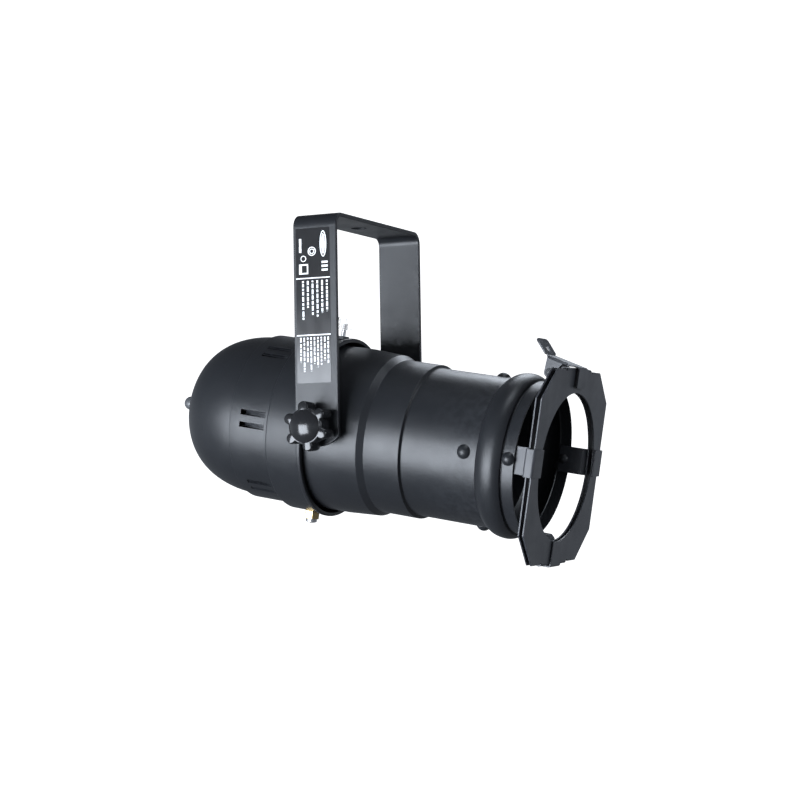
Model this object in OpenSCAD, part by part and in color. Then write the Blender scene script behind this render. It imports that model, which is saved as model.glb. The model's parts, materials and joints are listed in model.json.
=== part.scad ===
// Long-nosed parabolic lamp can on a flat-strap yoke, with a sprung colour-frame holder.
// Row frame: Z up, the beam leaves towards -Y and dips by can_tilt, X is the tilt axis,
// origin at the middle of the yoke's hanging hole, on the top face of the yoke.
// Can frame (inside at_can): z forward along the beam, y up, x as the row's X.

/* [Yoke] */
// Outside width of the yoke across its two arms
yoke_width = 127.6; // [110:0.2:160]
// Width of the yoke strap
yoke_strap = 31; // [20:0.5:40]
// Thickness of the yoke strap
yoke_gauge = 2.8; // [1.5:0.1:4]
// Drop from the top face of the yoke to the tilt axis
yoke_drop = 137.3; // [110:0.1:180]
// Outside radius of the two bends
yoke_bend = 8.5; // [4:0.5:12]
// Radius of the rounded lower end of each arm
arm_end_radius = 22; // [16:0.5:40]
// How far the tilt axis stands above the lowest point of an arm
arm_tail = 12.9; // [8:0.1:20]
// Diameter of the hanging hole for the clamp bolt
hang_hole = 10.5; // [6:0.5:13]
// Clearance diameter of the hole for the knob stud
pivot_hole = 6.6; // [6.2:0.1:9]
// Label width, height and thickness
label_width = 24.5; // [10:0.5:30]
label_height = 99.5; // [40:0.5:110]
label_gauge = 0.2; // [0.1:0.05:0.5]

/* [Can] */
// Angle of the beam below the level
can_tilt = 9.5; // [0:0.5:60]
// How far the can's own axis lies below the tilt axis
axis_drop = 1.8; // [0:0.1:6]
// Sheet thickness of the spun and rolled shells
wall = 1; // [0.6:0.1:2]
// Radius of the rear tube
tube1_radius = 55.25; // [45:0.25:65]
// Radius of the middle tube
tube2_radius = 51.1; // [42:0.1:62]
// Radius of the front tube
tube3_radius = 49; // [40:0.1:60]
// Where the rear tube starts to taper, its forward end, its radius there, and the bevel's end
taper_start = 2; // [0:0.5:10]
tube1_end = 24; // [10:0.5:40]
taper_radius = 53.8; // [52:0.1:60]
bevel_end = 28.1; // [12:0.1:45]
// Forward end of the middle tube
tube2_end = 53.2; // [40:0.1:70]
// Forward end of the front tube
tube3_end = 105.3; // [90:0.1:120]
// Crown radius and position of the rolled bead
bead_radius = 53.6; // [50:0.1:58]
bead_at = 114.4; // [110:0.1:120]
// Groove after the bead
groove_radius = 51; // [48:0.1:53]
groove_at = 122.8; // [120:0.1:126]
// Radius and ends of the front collar, behind which runs a narrow groove
collar_radius = 49.7; // [48:0.1:56]
collar_start = 124; // [123.6:0.1:128]
collar_end = 131.4; // [128:0.1:140]

/* [Rear housing] */
// Radius of the dome where it meets the vent band
dome_radius = 54.2; // [45:0.1:60]
// Depth of the dome
dome_depth = 52.2; // [30:0.1:70]
// Radius and rear edge of the vent band
vent_radius = 56; // [50:0.1:60]
vent_start = -69.7; // [-90:0.1:-60]
// Radius and rear edge of the wide band
band_radius = 58.8; // [52:0.1:62]
band_start = -40.4; // [-50:0.1:-30]
// Radius, length and front edge of the rolled rim
rim_radius = 60.4; // [58:0.1:64]
rim_length = 3.2; // [2:0.1:6]
rim_end = -13.2; // [-16:0.1:-12.5]
// Vent slot length, width, position of its front end and spacing in degrees
slot_length = 19; // [8:0.5:26]
slot_width = 3.6; // [2:0.1:5]
slot_end = -43; // [-50:0.5:-41]
slot_pitch = 8.3; // [6:0.1:12]
// Position of the thumb screw and of the earth screw along the can
thumb_at = -23.3; // [-30:0.1:-18]
earth_at = -28.9; // [-34:0.1:-20]

/* [Colour frame] */
// Width and height of the frame plates
frame_width = 118.4; // [100:0.2:140]
frame_height = 123.4; // [100:0.2:140]
// How far the middle of the plates lies below the can's axis
frame_sag = 2.2; // [0:0.05:5]
// Corner cut of the plates, across and upward
frame_corner = 20.5; // [5:0.5:30]
frame_corner_rise = 19.5; // [5:0.5:30]
// Radius of the opening in the plates
frame_opening = 47.5; // [35:0.5:55]
// Front face of the front plate, and overall thickness of the frame at its top and bottom
frame_front = 148.1; // [140:0.1:160]
frame_depth_top = 4.7; // [2:0.1:6]
frame_depth_bottom = 3.8; // [2:0.1:6]
// Sheet thickness of the plates
frame_gauge = 1; // [0.5:0.1:1.5]
// Width of the fold that joins the plates at top and bottom
fold_width = 44; // [10:1:60]

/* [Frame holder] */
// Width of the holder straps
clip_width = 17.5; // [10:0.5:25]
// Inner end of the side lips and of the bottom lip, from the can's axis
lip_end = 46.8; // [44:0.1:56]
bottom_lip_end = 49.6; // [44:0.1:60]
// Outside of the side channels, from the can's axis
clip_reach = 61.5; // [60:0.1:66]
// Rear wall and front lip of the channels along the can
channel_rear = 142.5; // [138:0.1:142.6]
channel_front = 149.4; // [149.2:0.1:155]

/* [Latch] */
// Latch pivot along the can and above its axis
latch_at = 130.4; // [126:0.1:134]
latch_rise = 55.9; // [54:0.1:60]
// Width of the latch
latch_width = 16; // [10:0.5:24]

/* [Knobs] */
// Radius over the lobes, of the lobes, and of the core
knob_radius = 16.2; // [12:0.1:20]
lobe_radius = 3.6; // [2:0.1:6]
knob_core = 12; // [8:0.1:14]
// Height of the lobed face above the arm, and of the dome above that
knob_height = 16.5; // [10:0.5:25]
knob_dome = 4.2; // [2:0.1:6]
// Radius of the domed cap
knob_cap = 10.6; // [6:0.1:12]
// Angle of the first lobe above the forward direction
knob_phase = 37; // [0:1:59]

/* [Lamp] */
// Radius of the lamp's front rim
lamp_radius = 47.5; // [40:0.5:50]
// Front of the lamp along the can
lamp_front = -8; // [-20:0.5:10]
// Radius of the lamp's screw base
base_radius = 13.2; // [10:0.1:14]

/* [Hidden] */

eps = 0.01;
round_fn = 72;
small_fn = 32;
bush_face = yoke_width / 2 - yoke_gauge - 1;
arm_inner = yoke_width / 2 - yoke_gauge;
arm_outer = yoke_width / 2;
bush_radius = 6.5;
stud_radius = 3;
sleeve_radius = tube3_radius - wall - 0.05;
sleeve_start = 87;
rivet_at = 97;
holder_rivet_at = 127.4;
strap_face = collar_radius - wall - 1.1;
strap_gauge = 1;
strap_start = 124.6;
frame_top = frame_height / 2 - frame_sag;
frame_bottom = -frame_height / 2 - frame_sag;
fold_drop = 1.4;
floor_y = frame_bottom - fold_drop - 0.05;
frame_back = frame_front - (frame_depth_top + frame_depth_bottom) / 2;
frame_lean = atan((frame_depth_top - frame_depth_bottom) / frame_height);
slot_groups = [0, 54, 126, 180, 234, 306];
dome_power = 3.2;
dome_steps = 13;
dome_pole = vent_start - dome_depth;
rear_tube_start = -36;
flare_radius = band_radius - wall - 0.1;
charcoal = [0.13, 0.135, 0.14];
steel = [0.62, 0.63, 0.65];

// ---------- placing ----------
module at_pivot() {
  translate([0, 0, -yoke_drop]) children();
}

module at_can() {
  at_pivot() rotate([can_tilt, 0, 0]) translate([0, 0, -axis_drop]) rotate([90, 0, 0]) children();
}

// Puts a piece drawn along +z on the can's skin at a radius, an angle and a place along it.
module on_skin(radius, angle, along) {
  rotate([0, 0, angle]) translate([radius, 0, along]) rotate([0, 90, 0]) children();
}

// Puts a piece drawn along +z on the tilt axis, pointing out of the left (-X) or right arm.
module on_tilt_axis(side) {
  at_pivot() rotate([0, 90 * side, 0]) children();
}

// ---------- shapes ----------
module ring(outer, inner, z0, z1) {
  rotate_extrude($fn = round_fn) translate([inner, z0]) square([outer - inner, z1 - z0]);
}

module small_ring(outer, inner, z0, z1) {
  difference() {
    translate([0, 0, z0]) cylinder(r = outer, h = z1 - z0, $fn = small_fn);
    translate([0, 0, z0 - 1]) cylinder(r = inner, h = z1 - z0 + 2, $fn = small_fn);
  }
}

module hex_ring(flats, inner, z0, z1) {
  difference() {
    translate([0, 0, z0]) cylinder(d = flats / cos(30), h = z1 - z0, $fn = 6);
    translate([0, 0, z0 - 1]) cylinder(r = inner, h = z1 - z0 + 2, $fn = small_fn);
  }
}

module cap(base, height) {
  ball = (base * base + height * height) / (2 * height);
  intersection() {
    translate([0, 0, height - ball]) sphere(r = ball, $fn = small_fn);
    cylinder(r = base + 1, h = height + 1, $fn = small_fn);
  }
}

// Dome rivet drawn along +z: the head sits at z = 0, the tail closes at -grip.
module rivet(head, rise, shank, grip) {
  cap(head, rise);
  translate([0, 0, -grip]) cylinder(r = shank, h = grip + 0.3, $fn = small_fn);
  translate([0, 0, -grip - 0.9]) cylinder(r = shank + 1, h = 0.9, $fn = small_fn);
}

// Strip of constant thickness along a list of [z, y] points, width along x.
module strip(points, width) {
  rotate([0, -90, 0]) translate([0, 0, -width / 2]) linear_extrude(width) polygon(points);
}

// ---------- yoke ----------
module strap_outline(w, top, r) {
  translate([-w / 2, -yoke_drop - arm_tail]) square([w, yoke_drop + arm_tail + top - r]);
  translate([-w / 2 + r, top - r - 1]) square([w - 2 * r, r + 1]);
  for (s = [-1, 1]) translate([s * (w / 2 - r), top - r]) circle(r = r, $fn = 48);
}

module yoke_bracket() {
  inner_w = yoke_width - 2 * yoke_gauge;
  end_centre = arm_end_radius - arm_tail;
  color(charcoal) difference() {
    rotate([90, 0, 0]) linear_extrude(yoke_strap, center = true) difference() {
      strap_outline(yoke_width, 0, yoke_bend);
      translate([0, -1]) strap_outline(inner_w, 1 - yoke_gauge, yoke_bend - yoke_gauge);
    }
    at_pivot() difference() {
      translate([-yoke_width, -yoke_strap, -arm_tail - 5])
        cube([2 * yoke_width, 2 * yoke_strap, arm_tail + 5]);
      translate([0, 0, end_centre]) rotate([0, 90, 0])
        cylinder(r = arm_end_radius, h = 3 * yoke_width, center = true, $fn = 96);
    }
    translate([0, 0, -yoke_gauge - 1]) cylinder(d = hang_hole, h = yoke_gauge + 2, $fn = 48);
    at_pivot() rotate([0, 90, 0])
      cylinder(d = pivot_hole, h = 2 * yoke_width, center = true, $fn = 48);
  }
}

module rating_label() {
  color([0.2, 0.2, 0.21]) at_pivot()
    translate([-arm_outer - label_gauge, -11, 28]) cube([label_gauge, label_width, label_height]);
}

// ---------- barrel ----------
module barrel() {
  b = tube1_radius;
  m = tube2_radius;
  f = tube3_radius;
  color(charcoal) at_can() difference() {
    rotate_extrude($fn = round_fn) polygon([
      [b - wall, rear_tube_start], [flare_radius, rear_tube_start],
      [flare_radius, rear_tube_start + 1.2], [b, rear_tube_start + 3.4], [b, taper_start],
      [taper_radius, tube1_end],
      [m, bevel_end], [m, tube2_end], [f, tube2_end + 0.8], [f, tube3_end],
      [f - wall, tube3_end], [f - wall, tube2_end], [m - wall, tube2_end - 0.8],
      [m - wall, bevel_end - 0.4], [taper_radius - wall, tube1_end - 0.3], [b - wall, taper_start]
    ]);
    for (s = [-1, 1]) translate([0, axis_drop, 0]) rotate([0, 90 * s, 0])
      cylinder(r = bush_radius, h = b + 5, $fn = 48);
    for (a = [0, 90, 180, 270]) on_skin(f - 5, a, rivet_at) cylinder(r = 1.65, h = 10, $fn = small_fn);
    // Notches in the flared rear edge let the two housing screws pass.
    for (s = [-1, 1]) translate([-5, s > 0 ? b : -b - 5, rear_tube_start - 1]) cube([10, 5, 6]);
  }
}

function bead_z(i) = tube3_end + 0.2 + (groove_at - tube3_end - 0.2) * i / 8;
bead_half = (groove_at - tube3_end) / 2;
bead_foot = (tube3_radius + groove_radius) / 2;
function bead_r(i) = tube3_radius + (groove_radius - tube3_radius) * i / 8
  + (bead_radius - bead_foot) * (1 - pow(abs(i / 4 - 1), 2.4));

module front_nosing() {
  outer = [for (i = [0:8]) [bead_r(i), bead_z(i)]];
  inner = [for (i = [8:-1:0]) [bead_r(i) - wall, bead_z(i)]];
  color(charcoal) at_can() difference() {
    rotate_extrude($fn = round_fn) polygon(concat(
      [[sleeve_radius - wall, sleeve_start], [sleeve_radius, sleeve_start],
       [sleeve_radius, tube3_end + 0.1], [tube3_radius, tube3_end + 0.1]],
      outer,
      [[collar_radius - 0.6, groove_at + 0.35], [collar_radius - 0.6, collar_start - 0.3],
       [collar_radius, collar_start], [collar_radius, collar_end],
       [collar_radius - wall, collar_end], [collar_radius - wall, collar_start + 0.3],
       [collar_radius - wall - 0.6, collar_start], [collar_radius - wall - 0.6, groove_at - 0.3]],
      inner,
      [[sleeve_radius - wall, tube3_end - 0.6]]
    ));
    for (a = [0, 90, 180, 270])
      on_skin(sleeve_radius - 5, a, rivet_at) cylinder(r = 1.65, h = 10, $fn = small_fn);
    for (a = [0, 180, 270])
      on_skin(collar_radius - 5, a, holder_rivet_at) cylinder(r = 1.65, h = 10, $fn = small_fn);
  }
}

module nosing_rivets() {
  color(charcoal) at_can() for (a = [0, 90, 180, 270])
    on_skin(tube3_radius + 0.03, a, rivet_at) rivet(4.5, 2.7, 1.6, 2.25);
}

module holder_rivets() {
  color(charcoal) at_can() for (a = [0, 180, 270])
    on_skin(collar_radius + 0.03, a, holder_rivet_at)
      rivet(4.2, 2.6, 1.6, wall + strap_gauge + 1.18);
}

// ---------- colour-frame holder ----------
// One strap drawn in the plane of [out from axis, along]: inside the collar, forward,
// out to the channel's rear wall, along the channel and back in as the lip.
module holder_strap(reach, lip) {
  t = strap_gauge;
  s = strap_face;
  bend = 2.2;
  mitre = 0.41 * t;
  difference() {
    rotate([90, 0, 0]) translate([0, 0, -clip_width / 2]) linear_extrude(clip_width) polygon([
      [s - t, strap_start], [s, strap_start], [s, channel_rear - bend],
      [s + bend, channel_rear], [reach - 0.6, channel_rear], [reach, channel_rear + 0.6],
      [reach, channel_front - 0.6], [reach - 0.6, channel_front], [lip, channel_front],
      [lip, channel_front - t], [reach - t, channel_front - t],
      [reach - t, channel_rear + t], [s + bend - mitre, channel_rear + t],
      [s - t, channel_rear - bend + mitre]
    ]);
    translate([s, 0, holder_rivet_at]) rotate([0, 90, 0])
      cylinder(r = 1.65, h = 10, center = true, $fn = small_fn);
  }
}

module side_clip_right() {
  color(charcoal) at_can() holder_strap(clip_reach, lip_end);
}

module side_clip_left() {
  color(charcoal) at_can() rotate([0, 0, 180]) holder_strap(clip_reach, lip_end);
}

module bottom_clip() {
  color(charcoal) at_can() rotate([0, 0, -90])
    holder_strap(-floor_y + strap_gauge, bottom_lip_end);
}

// ---------- colour frame ----------
module frame_outline() {
  w = frame_width / 2;
  c = frame_corner;
  d = frame_corner_rise;
  t = frame_top;
  b = frame_bottom;
  difference() {
    polygon([
      [-w + c, b], [w - c, b], [w, b + d], [w, t - d],
      [w - c, t], [-w + c, t], [-w, t - d], [-w, b + d]
    ]);
    translate([0, -frame_sag - 0.25]) circle(r = frame_opening, $fn = 96);
    for (sx = [-1, 1]) for (y = [t, b]) translate([sx * (fold_width / 2 + 1.2), y])
      circle(r = 1.3, $fn = 16);
  }
}

module fold_band(y, up) {
  depth = up ? frame_depth_top : frame_depth_bottom;
  mid = frame_front - depth / 2;
  r = depth / 2;
  translate([-fold_width / 2, 0, 0]) rotate([90, 0, 90]) linear_extrude(fold_width)
    translate([y, mid]) difference() {
      scale([fold_drop / r, 1]) circle(r = r, $fn = 24);
      scale([(fold_drop - 0.7) / r, 1]) circle(r = r - frame_gauge, $fn = 24);
      translate([up ? -5 : 0, -5]) square([5, 10]);
    }
}

module frame_front_plate() {
  color([0.16, 0.165, 0.17]) at_can() union() {
    translate([0, 0, frame_front - frame_gauge]) linear_extrude(frame_gauge) frame_outline();
    fold_band(frame_top, true);
    fold_band(frame_bottom, false);
  }
}

module frame_rear_plate() {
  color([0.16, 0.165, 0.17]) at_can()
    translate([0, -0.004, frame_back]) rotate([-frame_lean, 0, 0])
      linear_extrude(frame_gauge) frame_outline();
}

// ---------- latch ----------
strip_start = [127.6, 66.9];
strip_end = [149.2, 61.7];
tab_top = [119.1, 76.5];
tab_hole = 4;
pin_radius = 1.5;
knuckle_radius = 3.2;
knuckle_split = 4.1;
cheek_radius = 3.5;

function dir2(a, b) = (b - a) / norm(b - a);
function left2(v) = [-v[1], v[0]];

module latch_lever() {
  t = 1;
  u = dir2(strip_start, strip_end);
  n = left2(u);
  lip_low = 48.3;
  lip_face = 150.6;
  a = strip_start;
  b = strip_end;
  color(charcoal) at_can() difference() {
    union() {
      // sloping strip and front lip
      rotate([0, -90, 0]) translate([0, 0, -latch_width / 2]) linear_extrude(latch_width)
        polygon([
          a - n * t, a, [b[0], b[1]], [lip_face - 0.3, b[1] - 0.6], [lip_face, b[1] - 1.4],
          [lip_face, lip_low], [lip_face - t, lip_low], [lip_face - t, b[1] - 1.5],
          b - n * t - u * 0.4
        ]);
      latch_tab_plate(t, norm(tab_top - strip_start));
      for (s = [-1, 1]) {
        latch_edge(s, atan2(u[1], u[0]));
        latch_cheek(s);
      }
    }
    latch_tab_cut(norm(tab_top - strip_start) * 0.5 - 1.2);
    translate([0, latch_rise, latch_at]) rotate([0, 90, 0])
      cylinder(r = pin_radius + 0.06, h = 40, center = true, $fn = 48);
  }
}

// Edge of the strip turned down outwards, ending short of the frame's fold.
module latch_edge(side, slope) {
  translate([side * (latch_width / 2 - 0.5), strip_start[1], strip_start[0]])
    rotate([-slope, 0, 0]) rotate([0, 0, side * -50])
      translate([side > 0 ? 0 : -2.2, -0.95, 0.3]) cube([2.2, 0.9, 15]);
}

// Side plate from the strip down round the pivot.
module latch_cheek(side) {
  inner = latch_width / 2 - 1;
  translate([side * (inner + 0.47) + 0.47, 0, 0]) rotate([0, -90, 0])
    linear_extrude(0.94) {
      translate([latch_at, latch_rise]) circle(r = cheek_radius, $fn = 48);
      polygon([
        strip_start + [0.1, -0.7], [latch_at - cheek_radius, latch_rise + 0.6],
        [latch_at + cheek_radius, latch_rise + 0.6], strip_start + [12, -3.6]
      ]);
    }
}

// Tab plate: drawn in a frame whose y runs along the tab and whose z is its thickness.
module latch_tab_plate(t, length) {
  r = 3.5;
  w = latch_width + 3;
  tab_frame() translate([0, 0, -t]) linear_extrude(t) {
    translate([-w / 2, 1.2 + r]) square([w, length - 1.2 - 2 * r]);
    translate([-w / 2 + r, 1.2]) square([w - 2 * r, length - 1.2]);
    for (s = [-1, 1]) for (y = [1.2 + r, length - r])
      translate([s * (w / 2 - r), y]) circle(r = r, $fn = 24);
    translate([-latch_width / 2 + 1, -0.4]) square([latch_width - 2, 3]);
  }
}

module latch_tab_cut(at) {
  tab_frame() translate([0, at, -5]) linear_extrude(10) {
    translate([-1.9, -1.1]) square([3.8, 2.2]);
    for (s = [-1.1, 1.1]) translate([0, s]) circle(r = 1.9, $fn = 24);
  }
}

module tab_frame() {
  lean = atan2(tab_top[1] - strip_start[1], tab_top[0] - strip_start[0]);
  translate([0, strip_start[1], strip_start[0]]) rotate([90 - lean, 0, 0]) children();
}

module knuckle(x0, x1, bore) {
  translate([x0, latch_rise, latch_at]) rotate([0, 90, 0]) difference() {
    cylinder(r = knuckle_radius, h = x1 - x0, $fn = 48);
    translate([0, 0, -1]) cylinder(r = bore, h = x1 - x0 + 2, $fn = 48);
  }
}

module latch_leaf() {
  t = 0.9;
  u = dir2(strip_start, strip_end);
  n = left2(u);
  under = 1.04;
  p = strip_start + u * 11.5 - n * under;
  q = strip_start + u * 15.8 - n * under;
  w = latch_width - 2.1;
  k = [latch_at - 0.6, latch_rise + knuckle_radius - 1];
  color(charcoal) at_can() {
    difference() {
      union() {
        for (s = [-1, 1]) mirror([s < 0 ? 1 : 0, 0, 0])
          knuckle(knuckle_split, w / 2, pin_radius + 0.06);
        rotate([0, -90, 0]) translate([0, 0, -w / 2]) linear_extrude(w)
          polygon([k + [0, 0.1], k + [0.2, 1], p, q, q - n * t, p - n * t, k + [1.7, 0]]);
      }
      translate([-knuckle_split, latch_rise - 8, latch_at - 8])
        cube([2 * knuckle_split, 8 + knuckle_radius + 1, 13.4]);
      translate([0, latch_rise, latch_at]) rotate([0, 90, 0])
        cylinder(r = pin_radius + 0.06, h = 40, center = true, $fn = 48);
    }
  }
}

// Bracket: strip inside the collar, up in front of the collar's edge, curled round the pin.
module latch_bracket() {
  w = 2 * knuckle_split - 0.4;
  half = 2;
  s = strap_face;
  f = collar_end + 0.15;
  color(charcoal) at_can() union() {
    difference() {
      union() {
        knuckle(-half, half, pin_radius);
        rotate([0, -90, 0]) translate([0, 0, -half]) linear_extrude(2 * half) polygon([
          [latch_at + 1.6, latch_rise], [latch_at + knuckle_radius - 0.1, latch_rise],
          [f + 1, latch_rise - 2.6], [f + 1, s], [f, s], [f, latch_rise - 2.9]
        ]);
      }
      translate([0, latch_rise, latch_at]) rotate([0, 90, 0])
        cylinder(r = pin_radius, h = 40, center = true, $fn = 48);
    }
    rotate([0, -90, 0]) translate([0, 0, -w / 2]) linear_extrude(w) polygon([
      [f, latch_rise - 3], [f + 1, latch_rise - 2.7], [f + 1, s - 1],
      [strap_start + 3, s - 1], [strap_start + 3, s], [f, s]
    ]);
    translate([-w, s - 1, strap_start + 0.4]) cube([2 * w, 1, 5.5]);
  }
}

module latch_pivot_screw() {
  color(steel) at_can() translate([0, latch_rise, latch_at]) rotate([0, -90, 0]) {
    translate([0, 0, -latch_width / 2 - 2.1])
      cylinder(r = pin_radius, h = latch_width + 2.2, $fn = 48);
    translate([0, 0, latch_width / 2]) difference() {
      cap(2.6, 1.7);
      for (a = [0, 90]) rotate([0, 0, a]) translate([-1.4, -0.3, 0.8]) cube([2.8, 0.6, 2]);
    }
  }
}

module latch_pivot_nut() {
  color(steel) at_can() translate([latch_width / 2 + 0.03, latch_rise, latch_at])
    rotate([0, 90, 0]) hex_ring(5, pin_radius, 0, 1.9);
}

// Torsion spring round the pin, two close turns on each side of the bracket's knuckle.
module latch_spring() {
  wire = 0.35;
  color(steel) at_can() translate([0, latch_rise, latch_at]) rotate([0, 90, 0])
    for (s = [-1, 1]) for (i = [0, 1]) translate([0, 0, s * (2.55 + i * 0.8)])
      rotate_extrude($fn = 32) translate([1.96, 0]) circle(r = wire, $fn = 16);
}

// ---------- tilt pivot ----------
module pivot_bush(side) {
  color(steel) at_pivot() rotate([can_tilt, 0, 0]) rotate([0, 90 * side, 0]) {
    small_ring(9, stud_radius + 0.05, 51.4, 52.9);
    small_ring(bush_radius, stud_radius + 0.05, 52.9 - eps, bush_face);
  }
}

module pivot_bush_left() { pivot_bush(-1); }

module pivot_bush_right() { pivot_bush(1); }

module pivot_washer(side) {
  color([0.1, 0.1, 0.1]) on_tilt_axis(side)
    small_ring(11, stud_radius + 0.3, bush_face + 0.02, arm_inner - 0.05);
}

module pivot_washer_left() { pivot_washer(-1); }

module pivot_washer_right() { pivot_washer(1); }

module knob_washer(side) {
  color(steel) on_tilt_axis(side)
    small_ring(8.5, stud_radius + 0.2, arm_outer + 0.05, arm_outer + 1.25);
}

module knob_washer_left() { knob_washer(-1); }

module knob_washer_right() { knob_washer(1); }

module knob_stud(side) {
  color(steel) on_tilt_axis(side) translate([0, 0, 50.5])
    cylinder(r = stud_radius, h = arm_outer + 10 - 50.5, $fn = small_fn);
}

module knob_stud_left() { knob_stud(-1); }

module knob_stud_right() { knob_stud(1); }

module knob(side) {
  spread = knob_radius - lobe_radius;
  color([0.09, 0.09, 0.095]) on_tilt_axis(side) translate([0, 0, arm_outer]) difference() {
    union() {
      translate([0, 0, 1.3]) cylinder(r = 9, h = 3, $fn = 48);
      translate([0, 0, 3.5]) linear_extrude(knob_height - 3.5) {
        circle(r = knob_core, $fn = 48);
        for (i = [0:5]) rotate(-side * (knob_phase + 60 * i))
          translate([0, -spread]) circle(r = lobe_radius, $fn = 24);
      }
      translate([0, 0, knob_height - eps]) cap(knob_cap, knob_dome);
    }
    translate([0, 0, -1]) cylinder(r = stud_radius, h = 11, $fn = small_fn);
  }
}

module knob_left() { knob(-1); }

module knob_right() { knob(1); }

// ---------- rear housing ----------
function dome_r(i, off) = (dome_radius - off) * sin(90 * i / dome_steps);
function dome_z(i, off) = vent_start
  - (dome_depth - off) * sqrt(1 - pow(sin(90 * i / dome_steps), dome_power));
module on_dome_side() {
  rotate([0, 0, -42]) translate([47.3, 0, -100.6]) rotate([0, 119, 0]) children();
}

module rear_dome() {
  skirt = vent_start + 7;
  color(charcoal) at_can() difference() {
    rotate_extrude($fn = round_fn) polygon(concat(
      [for (i = [0:dome_steps]) [dome_r(i, 0), dome_z(i, 0)]],
      [[vent_radius - wall - 0.03, vent_start + 0.6], [vent_radius - wall - 0.03, skirt],
       [dome_radius - wall, skirt]],
      [for (i = [dome_steps:-1:0]) [dome_r(i, wall), dome_z(i, wall)]]
    ));
    translate([0, 0, dome_pole - 5]) cylinder(r = stud_radius + 0.1, h = 10, $fn = small_fn);
    on_dome_side() cylinder(r = 5.05, h = 14, center = true, $fn = small_fn);
  }
}

module vent_slot_cut() {
  translate([vent_radius - 4, -slot_width / 2, slot_end - slot_length]) cube([6, slot_width, slot_length]);
}

// Tongue left standing by the lanced slot: it leans inward from the slot's front end.
module vent_tongue() {
  lean = 13;
  translate([vent_radius - wall, -slot_width / 2 + 0.25, slot_end + 0.4])
    rotate([0, lean, 0]) translate([0, 0, -slot_length + 1])
      cube([0.7, slot_width - 0.5, slot_length - 0.6]);
}

module vent_housing() {
  v = vent_radius;
  b = band_radius;
  color(charcoal) at_can() difference() {
    union() {
      difference() {
        rotate_extrude($fn = round_fn) polygon([
          [v - wall, vent_start], [v - 0.5, vent_start], [v, vent_start + 0.6],
          [v, band_start - 0.6], [v + 0.4, band_start], [b - 0.8, band_start],
          [b, band_start + 0.8], [b, rim_end - rim_length], [rim_radius - 0.5, rim_end - rim_length],
          [rim_radius, rim_end - rim_length + 0.7], [rim_radius, rim_end - 0.7],
          [rim_radius - 0.5, rim_end], [b - wall + 0.6, rim_end], [b - wall, rim_end - 0.8],
          [b - wall, band_start + 1], [v - wall, band_start + 1 - 0.2]
        ]);
        for (g = slot_groups) for (s = [-0.5, 0.5]) rotate([0, 0, g + 1 + s * slot_pitch])
          vent_slot_cut();
      }
      for (g = slot_groups) for (s = [-0.5, 0.5]) rotate([0, 0, g + 1 + s * slot_pitch])
        vent_tongue();
    }
    on_skin(b - 6, 90, thumb_at) cylinder(r = 1.7, h = 10, $fn = small_fn);
    on_skin(b - 6, 270, earth_at) cylinder(r = 2.05, h = 10, $fn = small_fn);
  }
}

module rear_stud() {
  color(steel) at_can() translate([0, 0, dome_pole - 15])
    cylinder(r = stud_radius, h = 15 + 14.5, $fn = small_fn);
}

module rear_washer() {
  color(steel) at_can() small_ring(6.5, stud_radius + 0.05, dome_pole - 1.3, dome_pole - 0.05);
}

module rear_lock_nut() {
  color(steel) at_can() hex_ring(10, stud_radius + 0.02, dome_pole - 6.4, dome_pole - 1.35);
}

module rear_cap_nut() {
  color([0.2, 0.2, 0.2]) at_can() translate([0, 0, dome_pole - 6.45]) rotate([180, 0, 0])
    difference() {
      union() {
        cylinder(d = 10 / cos(30), h = 4.6, $fn = 6);
        translate([0, 0, 3]) cylinder(r = 4.75, h = 4.6, $fn = small_fn);
        translate([0, 0, 7.6]) sphere(r = 4.75, $fn = small_fn);
      }
      translate([0, 0, -1]) cylinder(r = stud_radius + 0.02, h = 9.8, $fn = small_fn);
    }
}

module thumb_boss() {
  color(charcoal) at_can() on_skin(band_radius + 0.03, 90, thumb_at)
    hex_ring(8, pin_radius + 0.05, 0, 2.2);
}

module thumb_shank() {
  color(steel) at_can() on_skin(tube1_radius + 0.35, 90, thumb_at)
    cylinder(r = pin_radius, h = 14, $fn = small_fn);
}

module thumb_head() {
  color([0.85, 0.87, 0.88]) at_can() on_skin(65.3, 90, thumb_at) difference() {
    linear_extrude(8.2) difference() {
      circle(r = 5.3, $fn = 48);
      for (i = [0:9]) rotate(36 * i) translate([5.6, 0]) circle(r = 0.9, $fn = 16);
    }
    translate([0, 0, -1]) cylinder(r = pin_radius, h = 1 + 14 + tube1_radius + 0.35 - 65.3, $fn = small_fn);
  }
}

module earth_nut() {
  color([0.8, 0.62, 0.3]) at_can() on_skin(band_radius + 0.05, 270, earth_at)
    hex_ring(9.5, 2.03, 0, 5.4);
}

module earth_screw() {
  color(steel) at_can() on_skin(band_radius - 2.9, 270, earth_at) {
    cylinder(r = 2, h = 8.45, $fn = small_fn);
    translate([0, 0, 8.4]) cylinder(r = 3.8, h = 2.1, $fn = small_fn);
    translate([0, 0, 10.5 - eps]) cap(3.8, 0.9);
  }
}

module earth_lug() {
  color([0.75, 0.7, 0.55]) at_can() on_skin(band_radius - wall - 1.2, 270, earth_at)
    difference() {
      union() {
        cylinder(r = 3.6, h = 0.8, $fn = small_fn);
        translate([0, -1.6, 0]) cube([9.5, 3.2, 0.8]);
      }
      translate([0, 0, -1]) cylinder(r = 2.05, h = 3, $fn = small_fn);
    }
}

module cable_grommet() {
  color([0.05, 0.05, 0.05]) at_can() on_dome_side() rotate_extrude($fn = small_fn)
    polygon([
      [3.4, -3], [6.6, -3], [7, -2.2], [5, -1.9], [5, 1.3], [7.4, 1.3], [7.2, 2.4],
      [6, 3.6], [3.4, 3.6]
    ]);
}

// ---------- lampholder and lamp ----------
holder_back = -106.5;

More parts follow.
